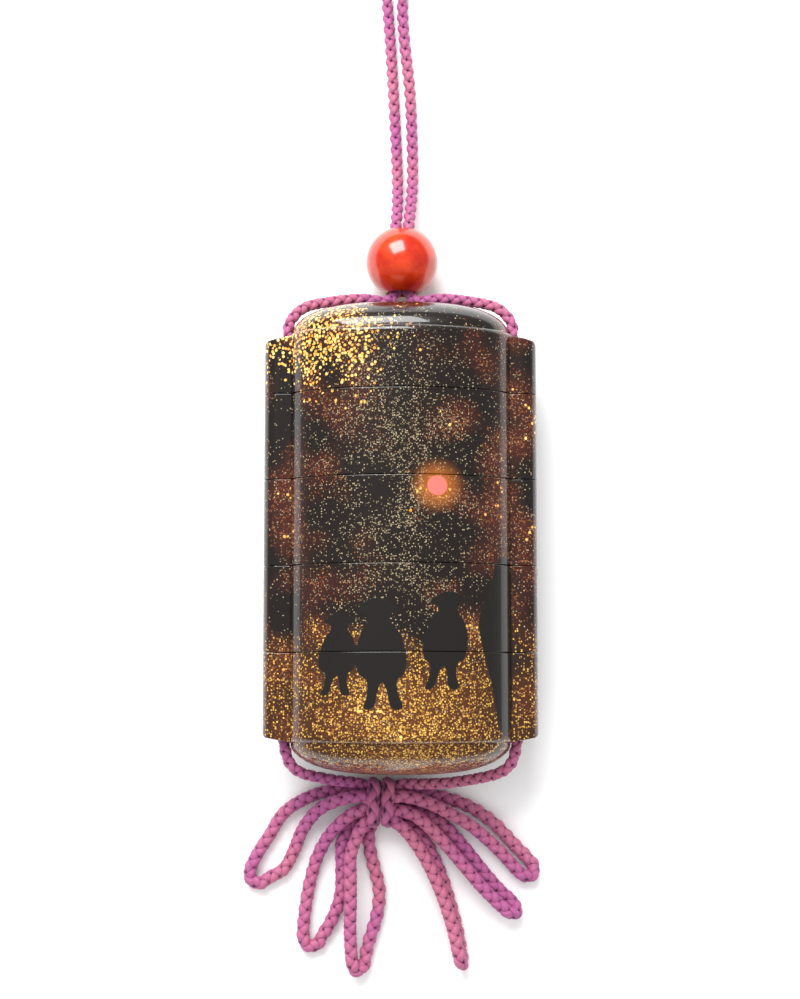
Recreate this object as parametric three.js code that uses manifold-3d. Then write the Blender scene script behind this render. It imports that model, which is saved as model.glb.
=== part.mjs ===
// Inro: a lidded stack of four lacquer cases threaded on one silk cord, with a round bead and a bow.
// Millimetres. The inro lies on its back: +X is its right, +Y runs towards the lid, +Z is up.

import * as THREE from "three";
import { mergeVertices } from "three/addons/utils/BufferGeometryUtils.js";
import Module from "manifold-3d";

const wasm = await Module();
wasm.setup();

// Lacquer body: an oval core with a cord runner down each side and a dome at each end.
const coreHalfWidth = 21;
const coreHalfDepth = 12.5;
const coreAxisHeight = 12; // a little less than the half depth, which leaves the flat that it rests on
const runnerHalfWidth = 24.75; // from the middle plane to the outside of a runner
const runnerHalfDepth = 4.2;
const runnerRound = 2.7;
const panelTop = 37;
const panelBottom = -37.25;
const shoulderRound = 1.2;
const lidDomeHeight = 5.95;
const baseDomeHeight = 5.7;
const domeHalfWidth = 19.8;
const domeHalfDepth = 10.7;
const domeFullness = 2.8; // exponent of the dome's outline across the width

// Fineness of the faceted ovals and domes.
const outsideFacets = 40;
const insideFacets = 24;
const facetsPerDomeRing = 7;

// Runner ends: level by the core, then a slope to a small round corner.
const runnerTop = 36.2;
const runnerTopSlope = 0.7;
const runnerBottom = -37;
const runnerBottomSlope = 0.6;
const runnerLevelTo = 20.3;
const runnerCorner = 1.1;

// Stack: the lid, three equal cases and the base case.
const lidHeight = 11.4;
const caseHeight = 15.6;
const caseNames = ["case_upper", "case_second", "case_third"];
const seamGap = 0.24;

// Risers: the rim of each case that fits into the underside of the piece above it.
const riserHalfWidth = 17.9;
const riserHalfDepth = 10.5;
const riserHeight = 4;
const riserClearance = 0.3;
const riserWall = 1.1;
const floorThickness = 1.4;
const domeWall = 1.6;

// Cord channels through the runners.
const channelX = 20.6;
const channelRadius = 1.55;

// Bead on the two strands above the lid.
const beadRadius = 6.73;
const beadCentre = [0.28, 51.8, beadRadius];
const beadHoleRadius = 2.7;
const beadLip = 0.5;

// Cord: slim where it is drawn tight, fuller in the slack loops of the bow.
const cordRadius = 1.15;
const bowCordRadius = 1.3;
const cordSides = 8;

// Knot: two flattened turns of cord round the roots of the bow loops.
const knotMin = [-6.4, -53, 0.1];
const knotMax = [-0.9, -43.4, 7];
const knotRound = 1.6;

// Route of the long cord: from the knot up the left runner, over the lid, through the bead, round
// its far bight and back the same way down the right side.
const longCordRoute = [
  [-7.2, -44.8, 3.7], [-12.8, -43.9, 7.6], [-18.9, -42.0, 11.2], [-20.6, -39.0, 12], [-20.6, 36.6, 12],
  [-20.4, 39.3, 11.8], [-18.0, 42.2, 11.1], [-13, 43.6, 10.4], [-7, 44.3, 9.6], [-2.4, 44.1, 8.4],
  [-0.95, 46.0, 7.0], [-0.92, 57.8, 6.6], [-0.6, 62.8, 4], [-0.6, 69, 1.5], [-1.3, 84.7, 1.2],
  [-2.6, 104.5, 1.2], [-5, 128, 1.2], [-8, 149, 1.2], [-6.2, 163.5, 1.2], [0.5, 169, 1.2],
  [6.8, 163, 1.2], [7, 148, 1.2], [3.2, 127, 1.2], [0.4, 104.5, 1.2], [1.9, 84.7, 1.2],
  [2.3, 69, 1.5], [1.9, 62.8, 4], [1.48, 57.8, 6.6], [1.5, 46.0, 7.0], [3.0, 44.1, 8.4],
  [7.4, 44.3, 9.6], [13.2, 43.6, 10.4], [18.0, 42.2, 11.1], [20.4, 39.3, 11.8], [20.6, 36.6, 12],
  [20.6, -39.0, 12], [18.9, -42.0, 11.3], [11, -44.2, 8.4], [4.5, -44.8, 5.8], [0.1, -44.9, 3.7],
];

// Bow loops, each from the knot out along its upper strand, round the tip and back underneath.
const bowLoops = {
  bow_loop_left_outer: [
    [-7.2, -46.3, 1.4], [-11.9, -46, 1.4], [-16.9, -47.3, 1.4], [-21.6, -50.3, 1.4], [-24, -54.1, 1.4],
    [-26.1, -57.3, 1.4], [-27.6, -60.4, 1.4], [-27.7, -61.8, 1.4], [-26.9, -62.8, 1.4], [-25.5, -63, 1.4],
    [-24.4, -62.1, 1.4], [-21.5, -60.5, 1.4], [-19.6, -57.1, 1.4], [-17.9, -53, 1.7], [-14.8, -49.4, 3],
    [-10.7, -47.6, 4.6], [-7.2, -47, 5.2],
  ],
  bow_loop_left_middle: [
    [-7.2, -49.6, 4.2], [-9.2, -50.5, 4.1], [-12.6, -53.6, 3], [-15, -57.5, 1.8], [-16.4, -61.9, 1.4],
    [-17.3, -66.4, 1.4], [-17.8, -72.9, 1.4], [-17.3, -74, 1.4], [-16.2, -74.4, 1.4], [-15.1, -74, 1.4],
    [-14.6, -72.9, 1.4], [-12.6, -69.6, 1.4], [-11, -65.1, 1.4], [-10.8, -60.2, 1.4], [-10.6, -54.8, 1.4],
    [-7.8, -50.5, 1.4],
  ],
  bow_loop_left_inner: [
    [-7.2, -52.8, 4], [-8.1, -54.8, 4.1], [-9.1, -57.7, 4.2], [-9.1, -62.2, 4.1], [-9.1, -66.5, 3.6],
    [-9.2, -71.3, 3], [-8.8, -77.3, 3], [-8.5, -78.3, 2.8], [-7.7, -78.7, 2.2], [-6.9, -78.3, 1.7],
    [-6.6, -77.3, 1.4], [-5.9, -73.9, 1.4], [-4.3, -68.7, 1.4], [-3.9, -64.2, 1.4], [-5.1, -59.1, 1.4],
    [-5.9, -54.9, 1.4],
  ],
  bow_loop_right_outer: [
    [0.1, -47, 5], [4.5, -48, 4.8], [9.1, -50.2, 3.8], [12.2, -52, 3.2], [15.1, -54.2, 2.6],
    [18.6, -57.5, 2.2], [22.3, -61.4, 2], [23.3, -61.8, 1.9], [24.2, -61.4, 1.6], [24.6, -60.4, 1.4],
    [24.2, -59.4, 1.4], [20.9, -55.9, 1.4], [16.9, -51.8, 1.4], [12.4, -48.9, 1.4], [6.9, -47.1, 1.4],
    [0.1, -46.3, 1.4],
  ],
  bow_loop_right_middle: [
    [0, -49.7, 4.4], [2.4, -50.4, 4.4], [5.4, -52.8, 4.2], [8.6, -56.2, 3.9], [11.8, -59.9, 3.9],
    [15, -63.6, 3.9], [19.2, -67.7, 3.6], [20.1, -68.3, 3.3], [21, -68.3, 2.6], [21.2, -67.5, 1.8],
    [20.8, -66.6, 1.4], [18, -64, 1.4], [14.8, -60.3, 1.4], [11.5, -56.2, 1.4], [7.3, -51.9, 1.4],
    [0.1, -49, 1.4],
  ],
  bow_loop_right_inner: [
    [0.3, -52.7, 4], [1.8, -54.3, 4.1], [4.5, -58.3, 3.9], [6.7, -62.8, 3.9], [8.6, -67.8, 4.1],
    [9.8, -72, 4.2], [10.7, -76.2, 4.2], [11, -77.1, 3.8], [11.2, -77.5, 2.8], [11.3, -77.1, 1.8],
    [11.2, -76.1, 1.4], [10.3, -71.1, 1.4], [8.9, -66, 1.4], [7.1, -60.6, 1.4], [4, -54.6, 1.4],
    [0.8, -52, 1.4],
  ],
};

const lacquer = [0.06, 0.04, 0.03];
const coral = [0.62, 0.08, 0.02];
const silk = [0.45, 0.14, 0.38];

// A closed solid from a closed geometry.
function solidOf(geometry) {
  geometry.deleteAttribute("normal");
  geometry.deleteAttribute("uv");
  const merged = mergeVertices(geometry, 1e-4);
  const corners = merged.index.array;
  const triangles = [];
  for (let i = 0; i < corners.length; i += 3) {
    const [a, b, c] = corners.slice(i, i + 3);
    if (a !== b && b !== c && c !== a) triangles.push(a, b, c);
  }
  const mesh = new wasm.Mesh({
    numProp: 3,
    vertProperties: new Float32Array(merged.attributes.position.array),
    triVerts: new Uint32Array(triangles),
  });
  return new wasm.Manifold(mesh);
}

function geometryOf(solid) {
  const mesh = solid.getMesh();
  const geometry = new THREE.BufferGeometry();
  geometry.setAttribute("position", new THREE.BufferAttribute(new Float32Array(mesh.vertProperties), 3));
  geometry.setIndex(new THREE.BufferAttribute(new Uint32Array(mesh.triVerts), 1));
  geometry.computeVertexNormals();
  return geometry;
}

// An outline in the cross-section plane, drawn out along Y from low to high.
function drawnAlongY(shape, low, high, options = {}) {
  const settings = { depth: high - low, bevelEnabled: false, curveSegments: outsideFacets, ...options };
  return new THREE.ExtrudeGeometry(shape, settings).rotateX(Math.PI / 2).translate(0, high, coreAxisHeight);
}

function ovalBar(halfWidth, halfDepth, low, high) {
  const outline = new THREE.Shape().absellipse(0, 0, halfWidth, halfDepth, 0, 2 * Math.PI);
  return solidOf(drawnAlongY(outline, low, high, { curveSegments: insideFacets }));
}

function boxBetween(min, max) {
  const size = max.map((value, i) => value - min[i]);
  const middle = max.map((value, i) => (value + min[i]) / 2);
  return solidOf(new THREE.BoxGeometry(...size).translate(...middle));
}

// A low dome over a squared oval. It stands on the plane Y = foot and points along direction.
function dome(halfWidth, halfDepth, height, foot, direction, facets) {
  const rings = Math.round(facets / facetsPerDomeRing);
  const skirt = 2; // below the foot, so that the dome joins what it stands on
  const profile = [new THREE.Vector2(0, -skirt / height), new THREE.Vector2(1, -skirt / height)];
  for (let i = 0; i <= rings; i++) {
    const angle = (i / rings) * (Math.PI / 2);
    profile.push(new THREE.Vector2(i === rings ? 0 : Math.cos(angle), Math.sin(angle)));
  }
  const geometry = new THREE.LatheGeometry(profile, facets);
  const position = geometry.attributes.position;
  for (let i = 0; i < position.count; i++) {
    const across = position.getX(i);
    const x = halfWidth * Math.sign(across) * Math.abs(across) ** (2 / domeFullness);
    position.setXYZ(i, x, height * position.getY(i), halfDepth * position.getZ(i));
  }
  if (direction < 0) geometry.rotateX(Math.PI);
  return solidOf(geometry.translate(0, foot, coreAxisHeight));
}

function ovalCore() {
  const outline = new THREE.Shape().absellipse(0, 0, coreHalfWidth, coreHalfDepth, 0, 2 * Math.PI);
  const rounded = {
    bevelEnabled: true,
    bevelThickness: shoulderRound,
    bevelSize: shoulderRound,
    bevelOffset: -shoulderRound,
    bevelSegments: 2,
  };
  return solidOf(drawnAlongY(outline, panelBottom + shoulderRound, panelTop - shoulderRound, rounded));
}

// Both runners as one bar through the core, cut at its ends to the sloping outline.
function runners() {
  const w = runnerHalfWidth;
  const d = runnerHalfDepth;
  const r = runnerRound;
  const section = new THREE.Shape()
    .moveTo(-w + r, -d)
    .lineTo(w - r, -d)
    .absarc(w - r, -d + r, r, -Math.PI / 2, 0)
    .absarc(w - r, d - r, r, 0, Math.PI / 2)
    .absarc(-w + r, d - r, r, Math.PI / 2, Math.PI)
    .absarc(-w + r, -d + r, r, Math.PI, 1.5 * Math.PI);
  const bar = solidOf(drawnAlongY(section, runnerBottom - 1, runnerTop + 1, { curveSegments: 5 }));

  const topCorner = runnerTop - runnerTopSlope;
  const bottomCorner = runnerBottom + runnerBottomSlope;
  const front = new THREE.Shape()
    .moveTo(-runnerLevelTo, runnerBottom)
    .lineTo(runnerLevelTo, runnerBottom)
    .lineTo(w - runnerCorner, bottomCorner)
    .quadraticCurveTo(w, bottomCorner, w, bottomCorner + runnerCorner)
    .lineTo(w, topCorner - runnerCorner)
    .quadraticCurveTo(w, topCorner, w - runnerCorner, topCorner)
    .lineTo(runnerLevelTo, runnerTop)
    .lineTo(-runnerLevelTo, runnerTop)
    .lineTo(-w + runnerCorner, topCorner)
    .quadraticCurveTo(-w, topCorner, -w, topCorner - runnerCorner)
    .lineTo(-w, bottomCorner + runnerCorner)
    .quadraticCurveTo(-w, bottomCorner, -w + runnerCorner, bottomCorner);
  const plate = new THREE.ExtrudeGeometry(front, { depth: 4 * d, bevelEnabled: false, curveSegments: 4 });
  return bar.intersect(solidOf(plate.translate(0, 0, coreAxisHeight - 2 * d)));
}

function lacquerBody() {
  const whole = ovalCore()
    .add(runners())
    .add(dome(domeHalfWidth, domeHalfDepth, lidDomeHeight, panelTop, 1, outsideFacets))
    .add(dome(domeHalfWidth, domeHalfDepth, baseDomeHeight, panelBottom, -1, outsideFacets));
  return whole.intersect(boxBetween([-40, -60, 0], [40, 60, 40]));
}

function cordChannels() {
  const left = new THREE.CylinderGeometry(channelRadius, channelRadius, 120, 12);
  const right = left.clone();
  return solidOf(left.translate(-channelX, 0, coreAxisHeight))
    .add(solidOf(right.translate(channelX, 0, coreAxisHeight)));
}

// The space under a piece that takes the riser of the case below it.
function riserSocket(low) {
  const halfWidth = riserHalfWidth + riserClearance;
  const halfDepth = riserHalfDepth + riserClearance;
  return ovalBar(halfWidth, halfDepth, low - 1, low + riserHeight + riserClearance);
}

function cavityBar(low, high) {
  return ovalBar(riserHalfWidth - riserWall, riserHalfDepth - riserWall, low, high);
}

// The rounded inside of a domed end, on the same side of the plane Y = foot as the dome itself.
function domedInside(height, foot, direction) {
  return dome(riserHalfWidth - riserWall, riserHalfDepth - riserWall, height, foot, direction, insideFacets);
}

function slice(body, low, high) {
  return body.intersect(boxBetween([-40, low, -1], [40, high, 40])).subtract(cordChannels());
}

function lid(body) {
  const low = panelTop - lidHeight + seamGap / 2;
  const foot = panelTop - domeWall;
  return slice(body, low, 60)
    .subtract(riserSocket(low))
    .subtract(cavityBar(low, foot))
    .subtract(domedInside(lidDomeHeight, foot, 1));
}

function openCase(body, low, high, cavity) {
  const riser = ovalBar(riserHalfWidth, riserHalfDepth, high - 1, high + riserHeight);
  return slice(body, low, high).add(riser).subtract(cavity);
}

function stackedCase(body, index) {
  const top = panelTop - lidHeight - index * caseHeight;
  const low = top - caseHeight + seamGap / 2;
  const high = top - seamGap / 2;
  const cavityFloor = low + riserHeight + riserClearance + floorThickness;
  const cavity = cavityBar(cavityFloor, high + riserHeight + 1);
  return openCase(body, low, high, cavity).subtract(riserSocket(low));
}

function baseCase(body) {
  const high = panelTop - lidHeight - caseNames.length * caseHeight - seamGap / 2;
  const foot = panelBottom + domeWall;
  const cavity = cavityBar(foot, high + riserHeight + 1).add(domedInside(baseDomeHeight, foot, -1));
  return openCase(body, -60, high, cavity);
}

// A ball with a round hole along Y and softened lips.
function beadGeometry() {
  const lipRadius = beadHoleRadius + beadLip;
  const start = Math.asin(lipRadius / beadRadius);
  const steps = 12;
  const profile = [];
  for (let i = 0; i <= steps; i++) {
    const angle = start + (i / steps) * (Math.PI - 2 * start);
    profile.push(new THREE.Vector2(beadRadius * Math.sin(angle), -beadRadius * Math.cos(angle)));
  }
  const endOfHole = beadRadius * Math.cos(start) - beadLip;
  profile.push(new THREE.Vector2(beadHoleRadius, endOfHole));
  profile.push(new THREE.Vector2(beadHoleRadius, -endOfHole));
  profile.push(profile[0].clone());
  return new THREE.LatheGeometry(profile, 28);
}

// A smooth cord line whose steps fall on its own points.
class CordLine extends THREE.CatmullRomCurve3 {
  getPointAt(u, target) {
    return this.getPoint(u, target);
  }

  getTangentAt(u, target) {
    return this.getTangent(u, target);
  }

  getSpacedPoints() {
    return this.points.map((point) => point.clone());
  }
}

function cordGeometry(route, radius) {
  const line = new CordLine(route.map((point) => new THREE.Vector3(...point)), false, "centripetal");
  const section = new THREE.Shape();
  for (let i = 0; i < cordSides; i++) {
    const angle = (i / cordSides) * 2 * Math.PI;
    const corner = [radius * Math.cos(angle), radius * Math.sin(angle)];
    if (i === 0) section.moveTo(...corner);
    else section.lineTo(...corner);
  }
  return new THREE.ExtrudeGeometry(section, { extrudePath: line, steps: route.length - 1, curveSegments: 1 });
}

function knotGeometry() {
  const [width, length, height] = knotMax.map((value, i) => value - knotMin[i]);
  const r = knotRound;
  const end = new THREE.Shape()
    .moveTo(r, 0)
    .lineTo(length - r, 0)
    .absarc(length - r, r, r, -Math.PI / 2, 0)
    .absarc(length - r, height - r, r, 0, Math.PI / 2)
    .absarc(r, height - r, r, Math.PI / 2, Math.PI)
    .absarc(r, r, r, Math.PI, 1.5 * Math.PI);
  const block = new THREE.ExtrudeGeometry(end, { depth: width, bevelEnabled: false, curveSegments: 5 });
  return block.rotateX(Math.PI / 2).rotateZ(Math.PI / 2).translate(...knotMin);
}

function piece(name, geometry, colour, roughness) {
  const color = new THREE.Color(...colour);
  const mesh = new THREE.Mesh(geometry, new THREE.MeshStandardMaterial({ color, roughness, metalness: 0 }));
  mesh.name = name;
  return mesh;
}

const group = new THREE.Group();
const body = lacquerBody();
group.add(piece("lid", geometryOf(lid(body)), lacquer, 0.15));
caseNames.forEach((name, index) => {
  group.add(piece(name, geometryOf(stackedCase(body, index)), lacquer, 0.15));
});
group.add(piece("case_base", geometryOf(baseCase(body)), lacquer, 0.15));

const bead = piece("bead", beadGeometry(), coral, 0.12);
bead.position.set(...beadCentre);
group.add(bead);

group.add(piece("cord_long", cordGeometry(longCordRoute, cordRadius), silk, 0.7));
group.add(piece("bow_knot", knotGeometry(), silk, 0.7));
for (const [name, route] of Object.entries(bowLoops)) {
  group.add(piece(name, cordGeometry(route, bowCordRadius), silk, 0.7));
}

export default group;
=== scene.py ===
# Inro of four stacked lacquer cases under a lid, threaded on one braided silk cord with a coral bead.
# Metres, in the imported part's frame: +X is its right, +Y runs towards the lid, +Z is up.
import math

import bpy
import bmesh
import numpy as np
from mathutils import Matrix, Vector, geometry, noise


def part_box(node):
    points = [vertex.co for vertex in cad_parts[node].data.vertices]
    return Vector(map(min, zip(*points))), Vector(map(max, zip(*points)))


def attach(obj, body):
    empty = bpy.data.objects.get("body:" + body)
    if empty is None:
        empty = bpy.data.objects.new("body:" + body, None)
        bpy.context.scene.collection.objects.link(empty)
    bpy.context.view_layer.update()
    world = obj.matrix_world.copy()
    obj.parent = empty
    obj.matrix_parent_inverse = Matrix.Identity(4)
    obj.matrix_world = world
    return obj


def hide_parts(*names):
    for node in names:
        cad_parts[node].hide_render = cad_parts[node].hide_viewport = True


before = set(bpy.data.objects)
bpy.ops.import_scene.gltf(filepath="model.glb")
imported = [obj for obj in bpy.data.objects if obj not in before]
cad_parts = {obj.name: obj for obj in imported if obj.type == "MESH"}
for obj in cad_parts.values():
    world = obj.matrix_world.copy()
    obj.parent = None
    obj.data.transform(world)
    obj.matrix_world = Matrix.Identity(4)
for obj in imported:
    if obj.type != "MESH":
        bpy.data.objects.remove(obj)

mm = 0.001
fullTurn = 2 * math.pi
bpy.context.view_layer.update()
scene = bpy.context.scene


# Helpers for node trees

def put(tree, kind, settings=None, inputs=None):
    node = tree.nodes.new(kind)
    for name, value in (settings or {}).items():
        setattr(node, name, value)
    for key, value in (inputs or {}).items():
        if isinstance(value, bpy.types.NodeSocket):
            tree.links.new(value, node.inputs[key])
        else:
            node.inputs[key].default_value = value
    return node


def calc(tree, operation, *values, clamp=False):
    settings = {"operation": operation, "use_clamp": clamp}
    return put(tree, "ShaderNodeMath", settings, dict(enumerate(values))).outputs[0]


def vectorCalc(tree, operation, *values):
    node = put(tree, "ShaderNodeVectorMath", {"operation": operation}, dict(enumerate(values)))
    return node.outputs["Value" if operation in ("DOT_PRODUCT", "LENGTH", "DISTANCE") else "Vector"]


def scaled(tree, vector, factor):
    return put(tree, "ShaderNodeVectorMath", {"operation": "SCALE"}, {0: vector, "Scale": factor}).outputs[0]


def smoothStep(tree, value, low, high):
    # 0 at low, 1 at high, with low above high for a falling step
    settings = {"interpolation_type": "SMOOTHSTEP"}
    return put(tree, "ShaderNodeMapRange", settings, {"Value": value, 1: low, 2: high}).outputs[0]


def mixed(tree, factor, a, b, blend="MIX"):
    settings = {"data_type": "RGBA", "blend_type": blend}
    return put(tree, "ShaderNodeMix", settings, {0: factor, 6: a, 7: b}).outputs[2]


def colour(red, green, blue):
    # From screen values, 0 to 255, to linear light
    def linear(value):
        value /= 255
        return value / 12.92 if value <= 0.04045 else ((value + 0.055) / 1.055) ** 2.4
    return (linear(red), linear(green), linear(blue), 1)


def newGroup(name, kind, inputs, outputs):
    tree = bpy.data.node_groups.new(name, kind)
    for label, socket, value in inputs:
        made = tree.interface.new_socket(label, in_out="INPUT", socket_type=socket)
        if value is not None:
            made.default_value = value
    for label, socket in outputs:
        tree.interface.new_socket(label, in_out="OUTPUT", socket_type=socket)
    return tree, tree.nodes.new("NodeGroupInput").outputs, tree.nodes.new("NodeGroupOutput").inputs


def useGroup(tree, group, inputs):
    kind = "GeometryNodeGroup" if group.bl_idname == "GeometryNodeTree" else "ShaderNodeGroup"
    return put(tree, kind, {"node_tree": group}, inputs).outputs


def newMaterial(name):
    material = bpy.data.materials.new(name)
    material.use_nodes = True
    return material, material.node_tree, material.node_tree.nodes["Principled BSDF"]


def attribute(tree, name, output="Fac"):
    return put(tree, "ShaderNodeAttribute", {"attribute_name": name}).outputs[output]


# Helpers for meshes

def newObject(name, data):
    made = bpy.data.objects.new(name, data)
    scene.collection.objects.link(made)
    return made


def settled(worked, name):
    # The evaluated shape as a plain mesh object in place of the worked one
    bpy.context.view_layer.update()
    shape = bpy.data.meshes.new_from_object(worked.evaluated_get(bpy.context.evaluated_depsgraph_get()))
    shape.name = name
    bpy.data.objects.remove(worked)
    return newObject(name, shape)


def numberOf(modifier, label):
    # A modifier's input is set by its socket's identifier
    return next(item.identifier for item in modifier.node_group.interface.items_tree if item.name == label)


# Camera

cameraSet = {"elevation": 84, "distance": 0.370, "target": (-0.00009, 0.00673, 0.012), "lens": 73.26}


def makeCamera():
    lift = math.radians(cameraSet["elevation"])
    back = Vector((0, -math.cos(lift), math.sin(lift)))
    data = bpy.data.cameras.new("camera")
    data.sensor_width = 36
    data.lens = cameraSet["lens"]
    data.clip_start = 0.01
    made = newObject("camera", data)
    made.location = Vector(cameraSet["target"]) + back * cameraSet["distance"]
    made.rotation_mode = "QUATERNION"
    made.rotation_quaternion = (-back).to_track_quat("-Z", "Y")
    scene.camera = made


makeCamera()
print("camera placed")


# Silk cord: four strands, two winding each way and passing over and under one another

silk = {
    "step": 0.26 * mm,  # along the braid
    "ring": 0.255,  # strand centres from the middle of the cord, as parts of its diameter
    "weave": 0.085,
    "thickness": 0.33,
    "width": 0.52,
}


def evenly(points, step):
    points = np.array(points, dtype=float)
    along = np.concatenate([[0], np.cumsum(np.linalg.norm(np.diff(points, axis=0), axis=1))])
    places = np.linspace(0, along[-1], max(2, round(along[-1] / step) + 1))
    return np.stack([np.interp(places, along, points[:, axis]) for axis in range(3)], axis=1)


def smoothLine(route, step, passes=0):
    # A centripetal curve through the route's points, in even steps
    points = [Vector(point) * mm for point in route]
    points = [2 * points[0] - points[1], *points, 2 * points[-1] - points[-2]]
    line = []
    for before, start, end, after in zip(points, points[1:], points[2:], points[3:]):
        a, b, c = ((q - p).length ** 0.5 for p, q in ((before, start), (start, end), (end, after)))
        leave = ((start - before) / a - (end - before) / (a + b) + (end - start) / b) * b
        reach = ((end - start) / b - (after - start) / (b + c) + (after - end) / c) * b
        line += geometry.interpolate_bezier(start, start + leave / 3, end - reach / 3, end, 24)[:-1]
    line = evenly([*line, points[-2]], step)
    for _ in range(passes):
        line[1:-1] = (line[:-2] + 2 * line[1:-1] + line[2:]) / 4
    return evenly(line, step)


def strandGroup():
    tree, given, result = newGroup("silk strand", "GeometryNodeTree", [
        ("Line", "NodeSocketGeometry", None), ("Diameter", "NodeSocketFloat", 0.0026),
        ("Pitch", "NodeSocketFloat", 0.0046), ("Start Angle", "NodeSocketFloat", 0.0),
        ("Direction", "NodeSocketFloat", 1.0), ("Sides", "NodeSocketInt", 10),
    ], [("Strand", "NodeSocketGeometry")])

    def stored(shape, name, kind, value):
        settings = {"data_type": kind, "domain": "POINT"}
        node = put(tree, "GeometryNodeStoreNamedAttribute", settings, {"Geometry": shape, "Name": name})
        tree.links.new(value, node.inputs["Value"])
        return node.outputs["Geometry"]

    def named(name):
        settings = {"data_type": "FLOAT_VECTOR"}
        return put(tree, "GeometryNodeInputNamedAttribute", settings, {"Name": name}).outputs["Attribute"]

    length = put(tree, "GeometryNodeSplineParameter").outputs["Length"]
    turned = calc(tree, "MULTIPLY", calc(tree, "DIVIDE", length, given["Pitch"]), fullTurn)
    angle = calc(tree, "MULTIPLY_ADD", turned, given["Direction"], given["Start Angle"])
    lift = calc(tree, "COSINE", calc(tree, "MULTIPLY", turned, 2.0))
    lift = calc(tree, "MULTIPLY", lift, given["Direction"])
    reach = calc(tree, "MULTIPLY_ADD", lift, silk["weave"], silk["ring"])
    reach = calc(tree, "MULTIPLY", reach, given["Diameter"])
    normal = put(tree, "GeometryNodeInputNormal").outputs[0]
    side = vectorCalc(tree, "CROSS_PRODUCT", put(tree, "GeometryNodeInputTangent").outputs[0], normal)
    outward = vectorCalc(tree, "ADD", scaled(tree, normal, calc(tree, "COSINE", angle)),
                         scaled(tree, side, calc(tree, "SINE", angle)))
    place = put(tree, "GeometryNodeInputPosition").outputs[0]

    line = stored(given["Line"], "centre", "FLOAT_VECTOR", place)
    line = stored(line, "outward", "FLOAT_VECTOR", outward)
    line = stored(line, "run", "FLOAT", length)
    moved = put(tree, "GeometryNodeSetPosition", None, {
        "Geometry": line, "Offset": scaled(tree, named("outward"), reach)})
    faced = put(tree, "GeometryNodeSetCurveNormal", {"mode": "FREE"}, {
        "Curve": moved.outputs[0], "Normal": named("outward")})

    ring = put(tree, "GeometryNodeCurvePrimitiveCircle", {"mode": "RADIUS"}, {
        "Resolution": given["Sides"], "Radius": 1.0}).outputs["Curve"]
    ring = stored(ring, "fibre", "FLOAT_VECTOR", place)
    flat = put(tree, "ShaderNodeCombineXYZ", None, {0: silk["thickness"] / 2, 1: silk["width"] / 2, 2: 0.0})
    flat = scaled(tree, flat.outputs[0], given["Diameter"])
    section = put(tree, "GeometryNodeSetPosition", None, {
        "Geometry": ring, "Position": vectorCalc(tree, "MULTIPLY", place, flat)})
    strand = put(tree, "GeometryNodeCurveToMesh", None, {
        "Curve": faced.outputs[0], "Profile Curve": section.outputs[0], "Fill Caps": True})
    # Distance of each point from the cord's middle, as a part of its diameter; the silk colour darkens with it as
    # painted shade in the crevices
    depth = vectorCalc(tree, "DISTANCE", place, named("centre"))
    shown = stored(strand.outputs[0], "depth", "FLOAT", calc(tree, "DIVIDE", depth, given["Diameter"]))
    tree.links.new(shown, result["Strand"])
    return tree


def braidTree(strand, material):
    tree, given, result = newGroup("silk braid", "GeometryNodeTree", [
        ("Geometry", "NodeSocketGeometry", None), ("Diameter", "NodeSocketFloat", 0.0026),
        ("Pitch", "NodeSocketFloat", 0.0046), ("Turn", "NodeSocketFloat", 0.0),
        ("Sides", "NodeSocketInt", 10),
    ], [("Geometry", "NodeSocketGeometry")])
    joined = put(tree, "GeometryNodeJoinGeometry")
    for direction in (1.0, -1.0):
        for start in (0.0, math.pi):
            made = useGroup(tree, strand, {
                "Line": given["Geometry"], "Diameter": given["Diameter"], "Pitch": given["Pitch"],
                "Start Angle": calc(tree, "ADD", given["Turn"], start), "Direction": direction,
                "Sides": given["Sides"]})
            tree.links.new(made["Strand"], joined.inputs[0])
    smooth = put(tree, "GeometryNodeSetShadeSmooth", None, {"Geometry": joined.outputs[0]})
    whole = put(tree, "GeometryNodeRealizeInstances", None, {"Geometry": smooth.outputs[0]})
    dyed = put(tree, "GeometryNodeSetMaterial", None, {"Geometry": whole.outputs[0], "Material": material})
    tree.links.new(dyed.outputs[0], result["Geometry"])
    return tree


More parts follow.
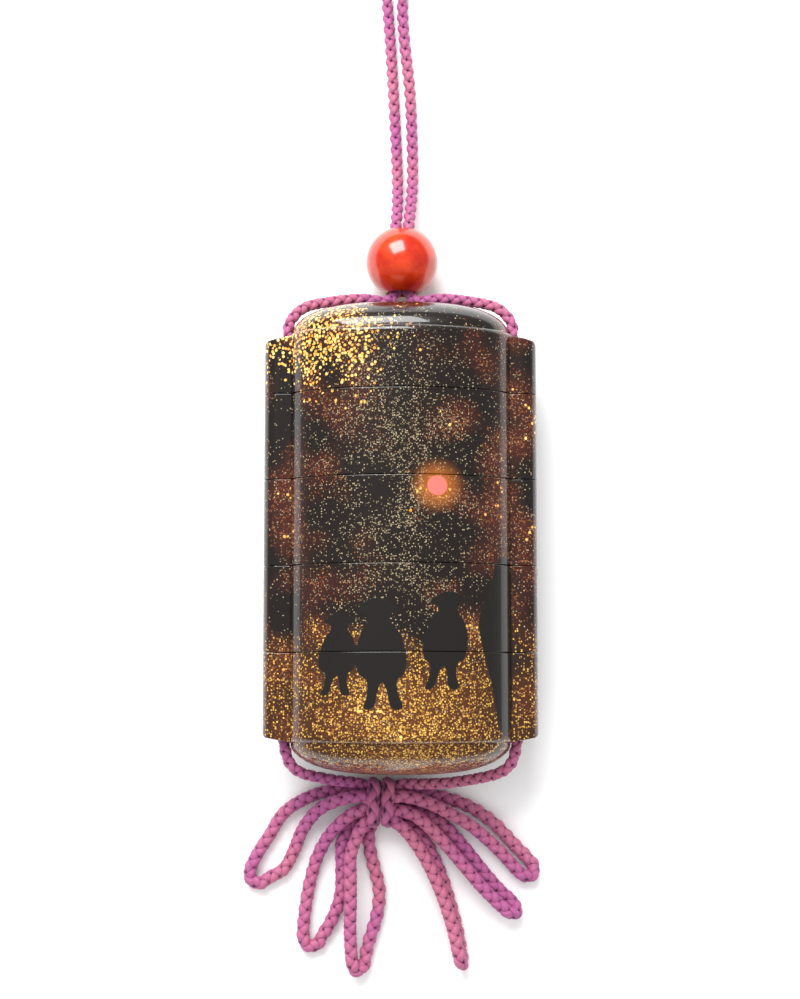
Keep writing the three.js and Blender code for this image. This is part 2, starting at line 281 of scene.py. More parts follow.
def silkMaterial(name):
    material, tree, shader = newMaterial(name)
    depth = attribute(tree, "depth")
    run = attribute(tree, "run")
    fibre = put(tree, "ShaderNodeSeparateXYZ", None, {0: attribute(tree, "fibre", "Vector")}).outputs
    place = put(tree, "ShaderNodeTexCoord").outputs["Object"]

    around = calc(tree, "ARCTAN2", fibre[1], fibre[0])
    wander = put(tree, "ShaderNodeTexNoise", None, {"Vector": place, "Scale": 900.0, "Detail": 2.0})
    lines = calc(tree, "MULTIPLY_ADD", around, 13.0, calc(tree, "MULTIPLY", run, 1500.0))
    lines = calc(tree, "SINE", calc(tree, "MULTIPLY_ADD", wander.outputs["Fac"], 7.0, lines))
    fade = put(tree, "ShaderNodeTexNoise", None, {"Vector": place, "Scale": 55.0, "Detail": 2.0})
    fuzz = put(tree, "ShaderNodeTexNoise", None, {"Vector": place, "Scale": 2600.0, "Detail": 3.0})

    top = mixed(tree, smoothStep(tree, fade.outputs["Fac"], 0.38, 0.62),
                colour(158, 70, 126), colour(176, 92, 116))
    # Violet, then near black, towards the cord's middle: painted shade in the crevices between and under the
    # strands
    shown = mixed(tree, smoothStep(tree, depth, 0.30, 0.44), colour(92, 26, 78), top)
    shown = mixed(tree, smoothStep(tree, depth, 0.19, 0.31), colour(30, 6, 24), shown)
    streak = calc(tree, "MULTIPLY_ADD", lines, 0.5, 0.5)
    shown = mixed(tree, calc(tree, "MULTIPLY", streak, 0.30), shown, colour(206, 128, 172))
    tree.links.new(shown, shader.inputs["Base Color"])
    rough = calc(tree, "MULTIPLY_ADD", fuzz.outputs["Fac"], 0.25, 0.34)
    tree.links.new(rough, shader.inputs["Roughness"])
    shader.inputs["Specular IOR Level"].default_value = 0.45
    shader.inputs["Sheen Weight"].default_value = 0.25
    shader.inputs["Sheen Roughness"].default_value = 0.4
    shader.inputs["Sheen Tint"].default_value = colour(240, 170, 230)
    relief = calc(tree, "MULTIPLY_ADD", fuzz.outputs["Fac"], 0.6, lines)
    bump = put(tree, "ShaderNodeBump", None, {"Strength": 0.55, "Distance": 0.04 * mm, "Height": relief})
    tree.links.new(bump.outputs[0], shader.inputs["Normal"])
    return material


longCord = {
    "name": "cordLong", "node": "cord_long", "diameter": 2.3 * mm, "pitch": 4.3 * mm, "turn": 0.8, "sides": 8,
    "route": [
        (-5.2, -45.6, 3.4), (-7.2, -44.8, 3.7), (-12.8, -43.9, 7.6), (-18.9, -42.0, 11.2), (-20.6, -39.0, 12),
        (-20.6, 36.6, 12), (-20.4, 39.3, 11.8), (-18.0, 42.2, 11.1), (-13, 43.6, 10.4), (-7, 44.3, 9.6),
        (-2.4, 44.1, 8.4), (-0.95, 46.0, 7.0), (-0.92, 57.8, 6.6), (-0.6, 62.8, 4), (-0.6, 69, 1.5),
        (-1.3, 84.7, 1.2), (-2.6, 104.5, 1.2), (-5, 128, 1.2), (-8, 149, 1.2), (-6.2, 163.5, 1.2),
        (0.5, 169, 1.2), (6.8, 163, 1.2), (7, 148, 1.2), (3.2, 127, 1.2), (0.4, 104.5, 1.2),
        (1.9, 84.7, 1.2), (2.3, 69, 1.5), (1.9, 62.8, 4), (1.48, 57.8, 6.6), (1.5, 46.0, 7.0),
        (3.0, 44.1, 8.4), (7.4, 44.3, 9.6), (13.2, 43.6, 10.4), (18.0, 42.2, 11.1), (20.4, 39.3, 11.8),
        (20.6, 36.6, 12), (20.6, -39.0, 12), (18.9, -42.0, 11.3), (11, -44.2, 8.4), (4.5, -44.8, 5.8),
        (0.1, -44.9, 3.7), (-1.8, -45.6, 3.4),
    ],
}

bow = {
    "diameter": 2.65 * mm, "pitch": 4.6 * mm, "turn": 0.8, "sides": 12,
    "loops": {
        "bow_loop_left_outer": [
            (-5.4, -46.9, 1.7), (-7.2, -46.3, 1.4), (-11.9, -46, 1.4), (-16.9, -47.3, 1.4), (-21.6, -50.3, 1.4),
            (-24, -54.1, 1.4), (-26.1, -57.3, 1.4), (-27.6, -60.4, 1.4), (-27.7, -61.8, 1.4),
            (-26.9, -62.8, 1.4), (-25.5, -63, 1.4), (-24.4, -62.1, 1.4), (-21.5, -60.5, 1.4),
            (-19.6, -57.1, 1.4), (-17.9, -53, 1.7), (-14.8, -49.4, 3), (-10.7, -47.6, 4.6), (-7.2, -47, 5.2),
            (-5.4, -47.4, 5),
        ],
        "bow_loop_left_middle": [
            (-5.3, -49.3, 4.2), (-7.2, -49.6, 4.2), (-9.2, -50.5, 4.1), (-12.6, -53.6, 3), (-15, -57.5, 1.8),
            (-16.4, -61.9, 1.4), (-17.3, -66.4, 1.4), (-17.8, -72.9, 1.4), (-17.3, -74, 1.4),
            (-16.2, -74.4, 1.4), (-15.1, -74, 1.4), (-14.6, -72.9, 1.4), (-12.6, -69.6, 1.4),
            (-11, -65.1, 1.4), (-10.8, -60.2, 1.4), (-10.6, -54.8, 1.4), (-7.8, -50.5, 1.4), (-5.6, -49, 1.5),
        ],
        "bow_loop_left_inner": [
            (-5.6, -51.2, 3.9), (-7.2, -52.8, 4), (-8.1, -54.8, 4.1), (-9.1, -57.7, 4.2), (-9.1, -62.2, 4.1),
            (-9.1, -66.5, 3.6), (-9.2, -71.3, 3), (-8.8, -77.3, 3), (-8.5, -78.3, 2.8), (-7.7, -78.7, 2.2),
            (-6.9, -78.3, 1.7), (-6.6, -77.3, 1.4), (-5.9, -73.9, 1.4), (-4.3, -68.7, 1.4),
            (-3.9, -64.2, 1.4), (-5.1, -59.1, 1.4), (-5.9, -54.9, 1.4), (-5.4, -52, 1.7),
        ],
        "bow_loop_right_outer": [
            (-1.7, -47.3, 4.9), (0.1, -47, 5), (4.5, -48, 4.8), (9.1, -50.2, 3.8), (12.2, -52, 3.2),
            (15.1, -54.2, 2.6), (18.6, -57.5, 2.2), (22.3, -61.4, 2), (23.3, -61.8, 1.9), (24.2, -61.4, 1.6),
            (24.6, -60.4, 1.4), (24.2, -59.4, 1.4), (20.9, -55.9, 1.4), (16.9, -51.8, 1.4),
            (12.4, -48.9, 1.4), (6.9, -47.1, 1.4), (0.1, -46.3, 1.4), (-1.7, -47, 1.7),
        ],
        "bow_loop_right_middle": [
            (-1.8, -49.4, 4.3), (0, -49.7, 4.4), (2.4, -50.4, 4.4), (5.4, -52.8, 4.2), (8.6, -56.2, 3.9),
            (11.8, -59.9, 3.9), (15, -63.6, 3.9), (19.2, -67.7, 3.6), (20.1, -68.3, 3.3), (21, -68.3, 2.6),
            (21.2, -67.5, 1.8), (20.8, -66.6, 1.4), (18, -64, 1.4), (14.8, -60.3, 1.4), (11.5, -56.2, 1.4),
            (7.3, -51.9, 1.4), (0.1, -49, 1.4), (-1.7, -48.6, 1.5),
        ],
        "bow_loop_right_inner": [
            (-1.4, -51.4, 3.9), (0.3, -52.7, 4), (1.8, -54.3, 4.1), (4.5, -58.3, 3.9), (6.7, -62.8, 3.9),
            (8.6, -67.8, 4.1), (9.8, -72, 4.2), (10.7, -76.2, 4.2), (11, -77.1, 3.8), (11.2, -77.5, 2.8),
            (11.3, -77.1, 1.8), (11.2, -76.1, 1.4), (10.3, -71.1, 1.4), (8.9, -66, 1.4), (7.1, -60.6, 1.4),
            (4, -54.6, 1.4), (0.8, -52, 1.4), (-0.8, -51.2, 1.6),
        ],
    },
}

knot = {
    "diameter": 2.7 * mm, "pitch": 7.5 * mm, "turn": 0.8, "sides": 12,
    "places": (-4.95, -2.35),  # middle of each turn, across
    "margin": 1.3,  # from the outside of the CAD block to the middle of the cord
    "lean": 0.2,  # how far the front of each turn leans over
}


def braid(name, line, tree, sizes, closed=False):
    curve = bpy.data.curves.new(name, "CURVE")
    curve.dimensions = "3D"
    spline = curve.splines.new("POLY")
    spline.points.add(len(line) - 1)
    spline.points.foreach_set("co", np.hstack([line, np.ones((len(line), 1))]).ravel())
    spline.use_cyclic_u = closed
    worked = newObject(name, curve)
    modifier = worked.modifiers.new("braid", "NODES")
    modifier.node_group = tree
    for label, key in (("Diameter", "diameter"), ("Pitch", "pitch"), ("Turn", "turn"), ("Sides", "sides")):
        modifier[numberOf(modifier, label)] = sizes[key]
    return settled(worked, name)


def camel(node):
    first, *rest = node.split("_")
    return first + "".join(word.capitalize() for word in rest)


def makeCord(name, node, route, tree, sizes):
    line = smoothLine(route, silk["step"], passes=6)
    piece = braid(name, line, tree, sizes)
    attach(piece, "root")
    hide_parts(node)
    length = float(np.linalg.norm(np.diff(line, axis=0), axis=1).sum())
    return length


def makeKnot(tree):
    low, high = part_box("bow_knot")
    turns = []
    for place in knot["places"]:
        inset = knot["margin"]
        back, front = low.z / mm + inset, high.z / mm - inset
        foot, head = low.y / mm + inset, high.y / mm - inset
        lean = knot["lean"] / 2
        corners = [(place - lean, foot, front), (place + lean, head, front), (place + lean, head, back),
                   (place - lean, foot, back)]
        line = evenly([Vector(corner) * mm for corner in [*corners, corners[0]]], silk["step"])[:-1]
        for _ in range(60):
            line = (np.roll(line, 1, axis=0) + 2 * line + np.roll(line, -1, axis=0)) / 4
        turns.append(braid("bowKnot", line, tree, knot, closed=True))
    joined = bmesh.new()
    for turn in turns:
        joined.from_mesh(turn.data)
    whole = turns[0]
    joined.to_mesh(whole.data)
    joined.free()
    bpy.data.objects.remove(turns[1])
    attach(whole, "root")
    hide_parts("bow_knot")


def makeCords():
    tree = braidTree(strandGroup(), silkMaterial("silk"))
    length = makeCord(longCord["name"], longCord["node"], longCord["route"], tree, longCord)
    print(f"long cord braided, {length:.3f} m")
    for node, route in bow["loops"].items():
        length = makeCord(camel(node), node, route, tree, bow)
        print(f"{node} braided, {length:.3f} m")
    makeKnot(tree)
    print("knot wound")


makeCords()


# Lacquer body: rings of points round the section, from a pole inside each piece to a pole or lip outside

body = {
    "axis": 12.0, "coreWidth": 21.0, "coreDepth": 12.5,
    "wingWidth": 24.75, "wingDepth": 4.2, "wingRound": 2.7, "wingEdge": 0.3, "levelTo": 20.3, "corner": 1.1,
    "shoulder": 1.2, "domeWidth": 19.8, "domeDepth": 10.7, "fullness": 2.8,
    "riserWidth": 17.9, "riserDepth": 10.5, "riserHeight": 4.0, "clearance": 0.3, "wall": 1.1, "lip": 0.22,
    "floor": 1.4, "domeWall": 1.6, "edge": 0.15, "closer": 0.07, "channel": 20.6, "bore": 1.55,
    "across": 120, "ringStep": 0.42,
    "cases": {"caseUpper": "case_upper", "caseSecond": "case_second", "caseThird": "case_third"},
    "lid": {"sign": 1, "end": 37.0, "dome": 5.95, "runner": 36.2, "slope": 0.7},
    "base": {"sign": -1, "end": -37.25, "dome": 5.7, "runner": -37.0, "slope": 0.6},
}


def oval(angle, width, depth):
    return np.stack([width * np.cos(angle), depth * np.sin(angle)], axis=-1)


def unit(vectors):
    return vectors / np.linalg.norm(vectors, axis=-1, keepdims=True)


def lengths(points):
    return np.concatenate([[0], np.cumsum(np.linalg.norm(np.diff(points, axis=0), axis=1))])


def makeStations():
    # One half round the section, a wing and then the core, turned about the axis for the other half
    wide, deep, turn = body["wingWidth"], body["wingDepth"], body["wingRound"]
    width, depth = body["coreWidth"], body["coreDepth"]
    groove = math.asin(deep / depth)
    inner = width * math.cos(groove)
    arc = np.radians(np.linspace(0, 90, 11))
    side = np.array([(wide, level) for level in (0.0, 0.5, 1.0)])
    corner = oval(arc, turn, turn) + (wide - turn, deep - turn)
    straight = np.array([(x, deep) for x in np.linspace(wide - turn, inner, 8)[1:]])
    upper = np.vstack([side, corner, straight])
    upperOut = np.vstack([np.tile((1.0, 0.0), (3, 1)), oval(arc, 1, 1), np.tile((0.0, 1.0), (7, 1))])
    under = np.array((1, -1))
    wing = np.vstack([(upper * under)[:0:-1], upper])
    wingOut = np.vstack([(upperOut * under)[:0:-1], upperOut])
    run = lengths(wing)
    wingAngle = np.interp(run, (0, run[-1]), (-groove, groove))
    fine = np.linspace(groove, math.pi - groove, 3000)
    run = lengths(oval(fine, width, depth))
    coreAngle = np.interp(np.linspace(0, run[-1], body["across"]), run, fine)
    angle = np.concatenate([wingAngle, coreAngle])
    point = np.vstack([wing, oval(coreAngle, width, depth)])
    out = np.vstack([wingOut, unit(oval(coreAngle, 1 / width, 1 / depth))])
    onWing = np.concatenate([np.ones(len(wing), bool), np.zeros(len(coreAngle), bool)])
    angle = np.concatenate([angle, angle + math.pi])
    made = {"angle": angle, "point": np.vstack([point, -point]), "out": np.vstack([out, -out]),
            "onWing": np.tile(onWing, 2), "root": oval(angle, width, depth),
            "rootOut": unit(oval(angle, 1 / width, 1 / depth))}

    # How far in from the core's outline the dome's foot lies
    near, far = np.zeros(len(angle)), np.full(len(angle), 3.0)
    for _ in range(40):
        middle = (near + far) / 2
        x, z = (made["root"] - middle[:, None] * made["rootOut"]).T
        outside = np.abs(x / body["domeWidth"]) ** body["fullness"] + (z / body["domeDepth"]) ** 2 > 1
        near, far = np.where(outside, middle, near), np.where(outside, far, middle)
    made["footInset"] = middle
    cosine = np.sign(x) * np.abs(x / body["domeWidth"]) ** (body["fullness"] / 2)
    made["footAngle"] = np.arctan2(z / body["domeDepth"], cosine)
    return made


stations = makeStations()


def level(flat, height):
    return np.column_stack([flat[:, 0], np.broadcast_to(height, len(flat)), flat[:, 1]])


def ovalLevel(width, depth, height):
    return level(oval(stations["angle"], width, depth), height)


def edgeRings(height, sign):
    # From the flat face at a seam round its small edge to the wall
    rings = []
    for turn in np.radians(np.linspace(90, 0, 5)):
        inset = body["edge"] * (1 - math.cos(turn))
        flat = stations["point"] - inset * stations["out"]
        rings.append(level(flat, height + sign * body["edge"] * (1 - math.sin(turn))))
    return rings


def wallRings(start, finish):
    count = max(2, round(float(np.max(np.abs(finish - start))) / body["ringStep"]))
    shares = [0, 0.08, *range(1, count), count - 0.08, count]
    return [level(stations["point"], start + share / count * (finish - start)) for share in shares]


def runnerDrop(x, slope):
    # How much lower the end of a runner is than its level part
    flatTo, wide, corner = body["levelTo"], body["wingWidth"], body["corner"]
    along = np.clip((np.abs(x) - flatTo) / (wide - corner - flatTo), 0, 1)
    bend = 1 - np.sqrt(np.clip(1 - (np.abs(x) - wide + corner) / corner, 0, 1))
    return slope * along + corner * bend ** 2


def edgeDrop(flat):
    # The rounded edge at the end of a runner
    turn, edge = body["wingRound"], body["wingEdge"]
    past = np.abs(flat) - (body["wingWidth"] - turn, body["wingDepth"] - turn)
    outside = np.linalg.norm(np.maximum(past, 0), axis=1) + np.minimum(past.max(axis=1), 0) - turn
    near = np.clip(1 + outside / edge, 0, 1)
    return edge * (1 - np.sqrt(1 - near ** 2))


def shoulderAt(way):
    # Inset and drop at a distance along the rounded shoulder and the flat above it
    turn = body["shoulder"]
    angle = np.minimum(way / turn, math.pi / 2)
    inset = turn * (1 - np.cos(angle)) + np.maximum(way - turn * math.pi / 2, 0)
    return inset, turn * (1 - np.sin(angle))


def shoulderWay(inset):
    turn = body["shoulder"]
    return turn * np.arccos(np.clip(1 - inset / turn, 0, 1)) + np.maximum(inset - turn, 0)


def endRings(sizes, start):
    # Wall, runner end or shoulder, and dome, towards the closed end of a lid or base
    sign, end, runner = sizes["sign"], sizes["end"], sizes["runner"]
    onWing = stations["onWing"]
    outline = stations["point"]
    wingTop = runner - sign * (runnerDrop(outline[:, 0], sizes["slope"]) + body["wingEdge"])
    rings = wallRings(start, np.where(onWing, wingTop, end - sign * body["shoulder"]))

    whole = shoulderWay(stations["footInset"])
    reached = body["shoulder"] - abs(end - runner)
    begun = shoulderWay(body["shoulder"] - math.sqrt(body["shoulder"] ** 2 - reached ** 2))
    meeting = stations["root"] - shoulderAt(begun)[0] * stations["rootOut"]
    ends, shoulders = 8, 12
    for i in range(1, ends + shoulders + 1):
        way = i / (ends + shoulders) * whole
        if i > ends:
            way = np.where(onWing, begun + (i - ends) / shoulders * (whole - begun), way)
        inset, drop = shoulderAt(way)
        flat = stations["root"] - inset[:, None] * stations["rootOut"]
        height = end - sign * drop
        if i <= ends:
            across = outline + (i / ends) ** 1.6 * (meeting - outline)
            low = runner - sign * (runnerDrop(across[:, 0], sizes["slope"]) + edgeDrop(across))
            flat = np.where(onWing[:, None], across, flat)
            height = np.where(onWing, low, height)
        rings.append(level(flat, height))
    rings += domeRings(body["domeWidth"], body["domeDepth"], sizes["dome"], end, sign, stations["footAngle"], 26)
    return rings, (0, end + sign * sizes["dome"], 0)


def domeRings(width, depth, height, foot, sign, around, count):
    rings = []
    for i in range(count):
        up = math.pi / 2 * (1 - (1 - i / count) ** 1.4)
        across = math.cos(up) * np.cos(around)
        x = width * np.sign(across) * np.abs(across) ** (2 / body["fullness"])
        flat = np.column_stack([x, depth * math.cos(up) * np.sin(around)])
        rings.append(level(flat, foot + sign * height * math.sin(up)))
    return rings


def cavitySize():
    return body["riserWidth"] - body["wall"], body["riserDepth"] - body["wall"]


def socketRings(low):
    width, depth = body["riserWidth"] + body["clearance"], body["riserDepth"] + body["clearance"]
    ceiling = low + body["riserHeight"] + body["clearance"]
    return [ovalLevel(width, depth, height) for height in (ceiling, low)]


def riserRings(high):
    # From the rim's foot on the case up over its lip to the inside
    width, depth = body["riserWidth"], body["riserDepth"]
    inWidth, inDepth = cavitySize()
    top, lip = high + body["riserHeight"], body["lip"]
    rings = [ovalLevel(width, depth, high), ovalLevel(width, depth, top - lip)]
    for turn in np.radians((22, 45, 67, 90)):
        fall, inset = lip * (1 - math.sin(turn)), lip * (1 - math.cos(turn))
        rings.append(ovalLevel(width - inset, depth - inset, top - fall))
    for turn in np.radians((90, 67, 45, 22, 0)):
        fall, inset = lip * (1 - math.sin(turn)), lip * (1 - math.cos(turn))
        rings.append(ovalLevel(inWidth + inset, inDepth + inset, top - fall))
    return rings


def innerDome(sizes):
    # From the pole of the rounded inside to its foot
    foot = sizes["end"] - sizes["sign"] * body["domeWall"]
    width, depth = cavitySize()
    rings = domeRings(width, depth, sizes["dome"], foot, sizes["sign"], stations["angle"], 12)[::-1]
    return (0, foot + sizes["sign"] * sizes["dome"], 0), [*rings, ovalLevel(width, depth, foot)]


def loft(name, firstPole, rings, lastPole):
    count = len(stations["angle"])
    points = np.vstack([firstPole, *rings, lastPole])
    points[:, 2] = np.maximum(points[:, 2], -body["axis"]) + body["axis"]
    start = 1 + np.arange(len(rings) - 1)[:, None] * count
    here = np.arange(count)
    after = np.roll(here, -1)
    quads = np.stack([start + here, start + after, start + count + after, start + count + here], axis=-1)
    last = len(points) - 1
    faces = [(0, 1 + b, 1 + a) for a, b in zip(here, after)] + quads.reshape(-1, 4).tolist()
    faces += [(last, last - count + a, last - count + b) for a, b in zip(here, after)]
    mesh = bpy.data.meshes.new(name)
    mesh.from_pydata((points * mm).tolist(), [], faces)
    whole = bmesh.new()
    whole.from_mesh(mesh)
    bmesh.ops.remove_doubles(whole, verts=whole.verts, dist=1e-7)
    bmesh.ops.dissolve_degenerate(whole, edges=whole.edges, dist=1e-8)
    bmesh.ops.recalc_face_normals(whole, faces=whole.faces)
    whole.to_mesh(mesh)
    whole.free()
    return newObject(name, mesh)


def channelCutter():
    cutter = bmesh.new()
    for side in (-1, 1):
        made = bmesh.ops.create_cone(cutter, cap_ends=True, segments=64, radius1=body["bore"] * mm,
                                     radius2=body["bore"] * mm, depth=0.12)
        bmesh.ops.rotate(cutter, verts=made["verts"], matrix=Matrix.Rotation(math.pi / 2, 3, "X"))
        bmesh.ops.translate(cutter, verts=made["verts"], vec=(side * body["channel"] * mm, 0, body["axis"] * mm))
    mesh = bpy.data.meshes.new("channels")
    cutter.to_mesh(mesh)
    cutter.free()
    return newObject("channels", mesh)


def bored(worked, cutter):
    modifier = worked.modifiers.new("channels", "BOOLEAN")
    modifier.object = cutter
    modifier.solver = "EXACT"
    piece = settled(worked, worked.name)
    shape = bmesh.new()
    shape.from_mesh(piece.data)
    bmesh.ops.remove_doubles(shape, verts=shape.verts, dist=1e-7)
    shape.to_mesh(piece.data)
    shape.free()
    piece.data.shade_smooth()
    piece.data.set_sharp_from_angle(angle=math.radians(38))
    return piece


def lidShape():
    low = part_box("lid")[0].y / mm - body["closer"]
    pole, rings = innerDome(body["lid"])
    ceiling = low + body["riserHeight"] + body["clearance"]
    rings.append(ovalLevel(*cavitySize(), ceiling))
    rings += socketRings(low) + edgeRings(low, 1)
    outside, crown = endRings(body["lid"], low + body["edge"])
    return loft("lid", pole, rings + outside[1:], crown)


def caseShape(name, node):
    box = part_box(node)
    low = box[0].y / mm - body["closer"]
    high = box[1].y / mm - body["riserHeight"] + body["closer"]
    ceiling = low + body["riserHeight"] + body["clearance"]
    inside = ceiling + body["floor"]
    walls = wallRings(low + body["edge"], high - body["edge"])
    rings = socketRings(low) + edgeRings(low, 1) + walls[1:-1] + edgeRings(high, -1)[::-1] + riserRings(high)
    rings.append(ovalLevel(*cavitySize(), inside))
    return loft(name, (0, ceiling, 0), rings, (0, inside, 0))


def baseShape():
    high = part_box("case_base")[1].y / mm - body["riserHeight"] + body["closer"]
    pole, rings = innerDome(body["base"])
    rings += riserRings(high)[::-1] + edgeRings(high, -1)
    outside, crown = endRings(body["base"], high - body["edge"])
    return loft("caseBase", pole, rings + outside[1:], crown)


# Painted scene: dark travellers before a low moon, in dust and flakes of gold

picture = {
    "moon": (6.5, 8.0), "moonRadius": 1.7,
    "traveller": [
        (0, 20), (4.4, 17.1), (2.1, 16.7), (1.8, 15.3), (3.6, 13.4), (4.6, 9.5), (4.1, 5.9), (2.5, 5.5),
        (2.6, 2.6), (3.8, 0.2), (1.2, 0), (0.8, 3.4), (0, 5.2), (-0.9, 3.2), (-1.5, 0.2), (-3.7, 0),
        (-2.7, 2.2), (-2.4, 5.4), (-4.1, 5.9), (-4.5, 9.5), (-3.3, 13.4), (-1.8, 15.3), (-2.1, 16.7), (-4.4, 17.1),
    ],
    # foot of each traveller, size, and lean to the side
    "places": [(-11.5, -29, 0.76, 0.06), (-3.0, -31.5, 1.02, -0.05), (7.2, -28, 0.9, 0.08)],
    "rock": [(20, -36), (20, -6), (18.4, -3.5), (16.6, -6), (15.8, -11), (13.6, -15), (14.2, -20), (16, -26), (17.5, -36)],
}


def insideBy(points, outline):
    # Distance in from a closed outline, negative outside
    starts = np.array(outline, dtype=float)
    ends = np.roll(starts, -1, axis=0)
    best = np.full(len(points), 1e9)
    inside = np.zeros(len(points), bool)
    for (ax, ay), (bx, by) in zip(starts, ends):
        leg = np.array((bx - ax, by - ay))
        offset = points - (ax, ay)
        share = np.clip(offset @ leg / (leg @ leg), 0, 1)
        best = np.minimum(best, np.linalg.norm(offset - share[:, None] * leg, axis=1))
        if ay != by:
            crosses = (ay > points[:, 1]) != (by > points[:, 1])
            inside ^= crosses & (points[:, 0] < ax + (points[:, 1] - ay) / (by - ay) * (bx - ax))
    return np.where(inside, best, -best)


def rounded(outline):
    # Each corner cut twice, so that the outline turns softly
    points = np.array(outline, dtype=float)
    for _ in range(2):
        after = np.roll(points, -1, axis=0)
        points = np.stack([0.75 * points + 0.25 * after, 0.25 * points + 0.75 * after], axis=1).reshape(-1, 2)
    return points


def hill(value, middle, reach):
    return np.exp(-((value - middle) / reach) ** 2)


def paint(piece):
    mesh = piece.data
    place = np.empty(3 * len(mesh.vertices))
    mesh.vertices.foreach_get("co", place)
    x, y, z = place.reshape(-1, 3).T / mm
    front = np.clip((z - body["axis"] + 1) / 2, 0, 1)
    drift = np.array([noise.noise(Vector(spot) / 7) for spot in zip(x, y, z)])
    flat = np.column_stack([x, y])
    shapes = [insideBy(flat, rounded(picture["rock"]))]
    for footX, footY, size, lean in picture["places"]:
        outline = [(footX + size * (px + lean * py), footY + size * py) for px, py in picture["traveller"]]
        shapes.append(insideBy(flat, rounded(outline)))
    figure = np.where(z > body["axis"], np.max(shapes, axis=0), -2)
    masks = {
        "figure": np.clip(figure, -2, 2),
        "dust": (0.25 + 0.75 * hill(x, 0, 11)) * hill(y, 6, 34) * (0.75 + 0.9 * drift),
        "flakes": np.clip(1.5 * hill(x, -15, 11) * hill(y, 36, 8) + 0.5 * drift - 0.12, 0, 1) * front,
        "lit": np.clip((-15 - y) / 9 + 1.1 * drift, 0, 1) * (0.35 + 0.65 * hill(x, 1, 13)) * (0.35 + 0.65 * front),
        "blush": np.clip(0.3 + 1.6 * drift, 0, 1) * np.clip(np.abs(x) / 14, 0, 1),
    }
    for name, values in masks.items():
        mesh.attributes.new(name, "FLOAT", "POINT").data.foreach_set("value", np.clip(values, -2, 2).tolist())


def sprinkleGroup():
    tree, given, result = newGroup("sprinkle", "ShaderNodeTree", [
        ("Vector", "NodeSocketVector", None), ("Grain", "NodeSocketFloat", 0.0003),
        ("Cover", "NodeSocketFloat", 0.5),
    ], [("Mask", "NodeSocketFloat"), ("Tone", "NodeSocketFloat")])
    scale = calc(tree, "DIVIDE", 1.0, given["Grain"])
    cells = put(tree, "ShaderNodeTexVoronoi", None, {"Vector": scaled(tree, given["Vector"], scale), "Scale": 1.0})
    chance = put(tree, "ShaderNodeSeparateColor", None, {0: cells.outputs["Color"]}).outputs
    picked = calc(tree, "LESS_THAN", chance[0], given["Cover"])
    grain = smoothStep(tree, cells.outputs["Distance"], 0.56, 0.34)
    tree.links.new(calc(tree, "MULTIPLY", picked, grain), result["Mask"])
    tree.links.new(chance[1], result["Tone"])
    return tree


def lacquerMaterial():
    material, tree, shader = newMaterial("gold sprinkled lacquer")
    place = put(tree, "ShaderNodeTexCoord").outputs["Object"]
    sprinkle = sprinkleGroup()
    ground = smoothStep(tree, attribute(tree, "figure"), 0.1, -0.1)
    shown = mixed(tree, attribute(tree, "blush"), colour(24, 17, 14), colour(66, 27, 17))
    shown = mixed(tree, attribute(tree, "lit"), shown, colour(86, 46, 16))
    layers = [
        ("dust", 0.00028, 0.62, colour(84, 72, 54), colour(176, 160, 124)),
        ("blush", 0.00031, 0.45, colour(96, 40, 20), colour(150, 92, 52)),
        ("lit", 0.00036, 0.9, colour(140, 84, 24), colour(232, 186, 88)),
        ("flakes", 0.00058, 1.0, colour(232, 142, 30), colour(255, 222, 130)),
    ]
    for name, grain, most, dim, bright in layers:
        cover = calc(tree, "MULTIPLY", attribute(tree, name), most)
        made = useGroup(tree, sprinkle, {"Vector": place, "Grain": grain, "Cover": cover})
        shown = mixed(tree, made["Mask"], shown, mixed(tree, made["Tone"], dim, bright))

    spot = put(tree, "ShaderNodeSeparateXYZ", None, {0: place}).outputs
    moonX, moonY = (value * mm for value in picture["moon"])
    flat = put(tree, "ShaderNodeCombineXYZ", None, {
        0: calc(tree, "SUBTRACT", spot[0], moonX), 1: calc(tree, "SUBTRACT", spot[1], moonY), 2: 0.0})
    away = vectorCalc(tree, "LENGTH", flat.outputs[0])
    front = calc(tree, "GREATER_THAN", spot[2], body["axis"] * mm)
    edge = picture["moonRadius"] * mm
    halo = calc(tree, "MULTIPLY", smoothStep(tree, away, 3.2 * edge, edge), front)
    disc = calc(tree, "MULTIPLY", smoothStep(tree, away, 1.06 * edge, 0.98 * edge), front)
    shown = mixed(tree, calc(tree, "MULTIPLY", halo, 0.55), shown, colour(186, 104, 30))
    shown = mixed(tree, disc, shown, colour(255, 108, 98))
    shown = mixed(tree, ground, colour(24, 21, 19), shown)
    tree.links.new(shown, shader.inputs["Base Color"])
    shader.inputs["Roughness"].default_value = 0.3
    shader.inputs["Specular IOR Level"].default_value = 0.2
    shader.inputs["Coat Weight"].default_value = 0.9
    shader.inputs["Coat Roughness"].default_value = 0.06
    return material


def makeBody():
    material = lacquerMaterial()
    cutter = channelCutter()
    shapes = [(lidShape(), "lid"), (baseShape(), "case_base")]
    shapes += [(caseShape(name, node), node) for name, node in body["cases"].items()]
    for worked, node in shapes:
        piece = bored(worked, cutter)
        paint(piece)
        piece.data.materials.clear()
        piece.data.materials.append(material)
        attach(piece, "root")
        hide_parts(node)
    bpy.data.objects.remove(cutter)


makeBody()
print("lacquer body made")


# Coral bead, turned with a hole along Y and softened lips

coral = {"radius": 6.73, "hole": 2.7, "lip": 0.5, "around": 96, "steps": 72}


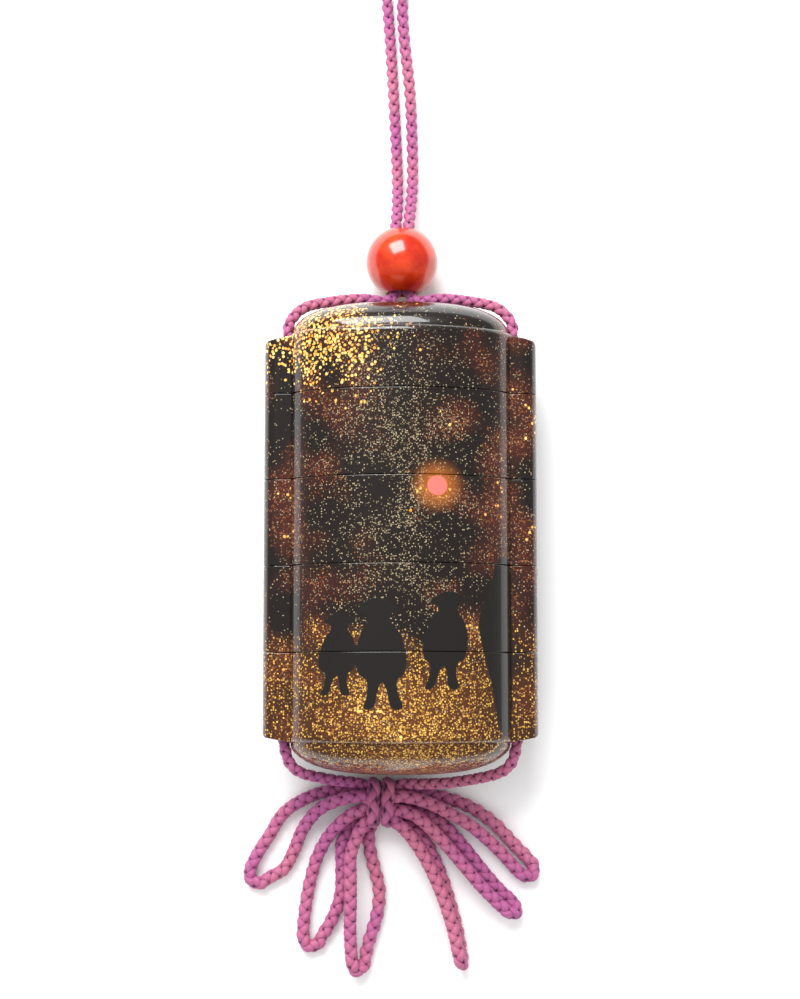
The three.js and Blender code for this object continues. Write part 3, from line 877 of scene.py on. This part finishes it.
def beadShape():
    radius, hole, lip = coral["radius"], coral["hole"], coral["lip"]
    start = math.asin((hole + lip) / radius)
    profile = [(radius * math.sin(turn), -radius * math.cos(turn))
               for turn in np.linspace(start, math.pi - start, coral["steps"])]
    end = radius * math.cos(start) - lip
    for turn in np.radians(np.linspace(20, 90, 6)):
        profile.append((hole + lip * (1 - math.sin(turn)), end + lip * math.cos(turn)))
    profile += [(across, -along) for across, along in profile[:-7:-1]]
    low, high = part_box("bead")
    middle = (low + high) / 2
    points = [middle + Vector((across * math.cos(turn), along, across * math.sin(turn))) * mm
              for turn in np.linspace(0, fullTurn, coral["around"], endpoint=False) for across, along in profile]
    count, whole = len(profile), len(profile) * coral["around"]
    faces = [(i * count + j, (i + 1) * count % whole + j, (i + 1) * count % whole + (j + 1) % count,
              i * count + (j + 1) % count) for i in range(coral["around"]) for j in range(count)]
    mesh = bpy.data.meshes.new("bead")
    mesh.from_pydata(points, [], faces)
    shape = bmesh.new()
    shape.from_mesh(mesh)
    bmesh.ops.recalc_face_normals(shape, faces=shape.faces)
    shape.to_mesh(mesh)
    shape.free()
    mesh.shade_smooth()
    return newObject("bead", mesh)


def coralMaterial():
    material, tree, shader = newMaterial("coral")
    place = put(tree, "ShaderNodeTexCoord").outputs["Object"]
    clouds = put(tree, "ShaderNodeTexNoise", None, {"Vector": place, "Scale": 260.0, "Detail": 3.0})
    shade = smoothStep(tree, clouds.outputs["Fac"], 0.35, 0.68)
    tree.links.new(mixed(tree, shade, colour(176, 30, 3), colour(204, 58, 14)), shader.inputs["Base Color"])
    shader.inputs["Roughness"].default_value = 0.22
    shader.inputs["Coat Weight"].default_value = 0.6
    shader.inputs["Coat Roughness"].default_value = 0.04
    return material


def makeBead():
    piece = beadShape()
    piece.data.materials.append(coralMaterial())
    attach(piece, "root")
    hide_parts("bead")


makeBead()
print("bead turned")


# Floor and light

studio = {
    "floorSize": 3.0,
    "keyFrom": (-0.14, 0.44, 0.46), "keySize": 0.42, "keyPower": 6.0,
    "fill": 2.3, "fillSpread": 150, "worldLight": 0.3, "worldSeen": 1.0,
}


def makeStudio():
    half = studio["floorSize"] / 2
    mesh = bpy.data.meshes.new("floor")
    mesh.from_pydata([(-half, -half, 0), (half, -half, 0), (half, half, 0), (-half, half, 0)], [], [(0, 1, 2, 3)])
    floor = newObject("floor", mesh)
    material, tree, shader = newMaterial("pale floor")
    shader.inputs["Base Color"].default_value = (0.9, 0.9, 0.9, 1)
    shader.inputs["Roughness"].default_value = 1.0
    shader.inputs["Specular IOR Level"].default_value = 0.0
    mesh.materials.append(material)

    lamp = bpy.data.lights.new("key", "AREA")
    lamp.shape = "SQUARE"
    lamp.size = studio["keySize"]
    lamp.energy = studio["keyPower"]
    key = newObject("key", lamp)
    key.location = studio["keyFrom"]
    key.rotation_euler = (-Vector(studio["keyFrom"])).to_track_quat("-Z", "Y").to_euler()

    # An all-round soft fill that leaves no reflection of its own
    lamp = bpy.data.lights.new("fill", "SUN")
    lamp.angle = math.radians(studio["fillSpread"])
    lamp.energy = studio["fill"]
    newObject("fill", lamp).visible_glossy = False

    world = bpy.data.worlds.new("studio")
    world.use_nodes = True
    scene.world = world
    tree = world.node_tree
    seen = put(tree, "ShaderNodeLightPath").outputs["Is Camera Ray"]
    gap = studio["worldSeen"] - studio["worldLight"]
    strength = calc(tree, "MULTIPLY_ADD", seen, gap, studio["worldLight"])
    tree.links.new(strength, tree.nodes["Background"].inputs["Strength"])
    tree.nodes["Background"].inputs["Color"].default_value = (1, 1, 1, 1)
    scene.view_settings.view_transform = "Standard"


makeStudio()
print("studio lit")
